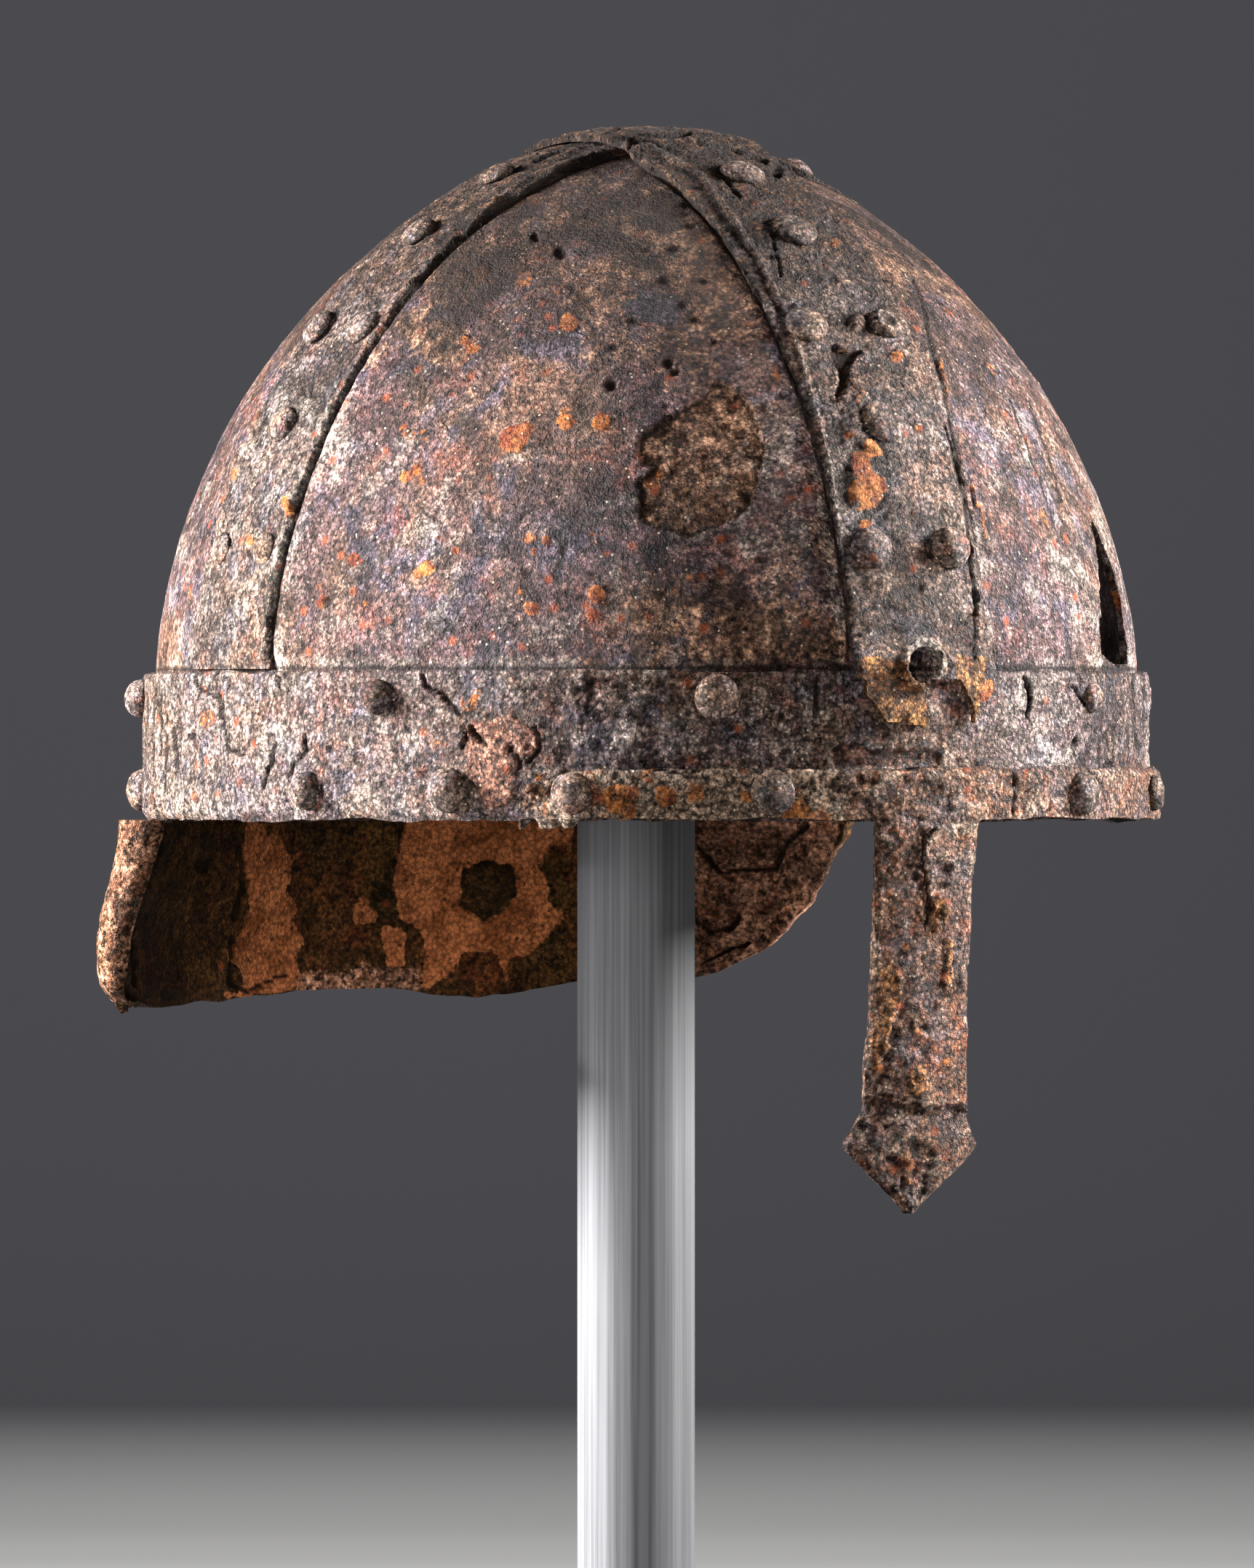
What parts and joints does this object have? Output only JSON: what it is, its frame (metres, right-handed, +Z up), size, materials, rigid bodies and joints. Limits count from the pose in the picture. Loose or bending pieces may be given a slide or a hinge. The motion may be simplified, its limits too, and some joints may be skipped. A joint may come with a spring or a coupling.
{
  "type": "norse iron helmet on a display stand",
  "caption": "Corroded iron helmet of riveted plates and bands with a nasal and a neck guard, held up on a plain post stand.",
  "frame": {"origin": "centre of the stand base's underside, on the ground", "axes": "+Z up, the helmet's front with its nasal faces -Y, +X is the wearer's left"},
  "size_m": [0.2174, 0.2512, 0.3513],
  "materials": {
    "plate_iron": "thin corroded wrought iron plate, dark purplish grey with brown bloom and orange rust spots, matt",
    "band_iron": "corroded wrought iron strap, flaked in layers, dusty grey-brown, matt",
    "brow_iron": "corroded wrought iron, crusted and cracked, grey-brown with pinkish flakes, matt",
    "nasal_iron": "corroded wrought iron, split along its length, grey-brown, matt",
    "guard_iron": "corroded wrought iron sheet, olive brown and orange rust, rough and blistered, matt",
    "rivet_iron": "corroded domed iron rivet head, crusted, matt",
    "stand_post": "brushed grey metal rod, satin, fine streaks along its length",
    "stand_base": "grey powder coat, fine texture, matt",
    "stand_pad": "dark grey felt over a wooden block, matt"
  },
  "bodies": {
    "root": {"back_left_plate": "plate_iron", "back_right_plate": "plate_iron", "brow_band": "brow_iron", "brow_to_nape_band": "band_iron", "ear_to_ear_band": "band_iron", "front_left_plate": "plate_iron", "front_right_plate": "plate_iron", "nasal": "nasal_iron", "neck_guard": "guard_iron", "rivet_brow_front_left": "rivet_iron", "rivet_brow_front_right": "rivet_iron", "rivet_brow_left": "rivet_iron", "rivet_brow_right": "rivet_iron", "rivet_brow_right_back": "rivet_iron", "rivet_front_crown": "rivet_iron", "rivet_front_higha": "rivet_iron", "rivet_front_highb": "rivet_iron", "rivet_front_lowa": "rivet_iron", "rivet_front_lowb": "rivet_iron", "rivet_front_middle": "rivet_iron", "rivet_front_upper": "rivet_iron", "rivet_guard_1": "rivet_iron", "rivet_guard_2": "rivet_iron", "rivet_guard_3": "rivet_iron", "rivet_hem_front_right": "rivet_iron", "rivet_hem_right": "rivet_iron", "rivet_hem_right_back": "rivet_iron", "rivet_left_crown": "rivet_iron", "rivet_left_higha": "rivet_iron", "rivet_left_highb": "rivet_iron", "rivet_left_lowa": "rivet_iron", "rivet_left_lowb": "rivet_iron", "rivet_left_middle": "rivet_iron", "rivet_left_upper": "rivet_iron", "rivet_nape_crown": "rivet_iron", "rivet_nape_foot": "rivet_iron", "rivet_nape_higha": "rivet_iron", "rivet_nape_highb": "rivet_iron", "rivet_nape_lowa": "rivet_iron", "rivet_nape_lowb": "rivet_iron", "rivet_nape_middle": "rivet_iron", "rivet_nape_upper": "rivet_iron", "rivet_right_crown": "rivet_iron", "rivet_right_higha": "rivet_iron", "rivet_right_highb": "rivet_iron", "rivet_right_lowa": "rivet_iron", "rivet_right_lowb": "rivet_iron", "rivet_right_middle": "rivet_iron", "rivet_right_upper": "rivet_iron", "rivet_strip_1": "rivet_iron", "rivet_strip_2": "rivet_iron", "rivet_strip_3": "rivet_iron", "rivet_strip_4": "rivet_iron", "stand_base": "stand_base", "stand_pad": "stand_pad", "stand_post": "stand_post"}
  },
  "joints": []
}
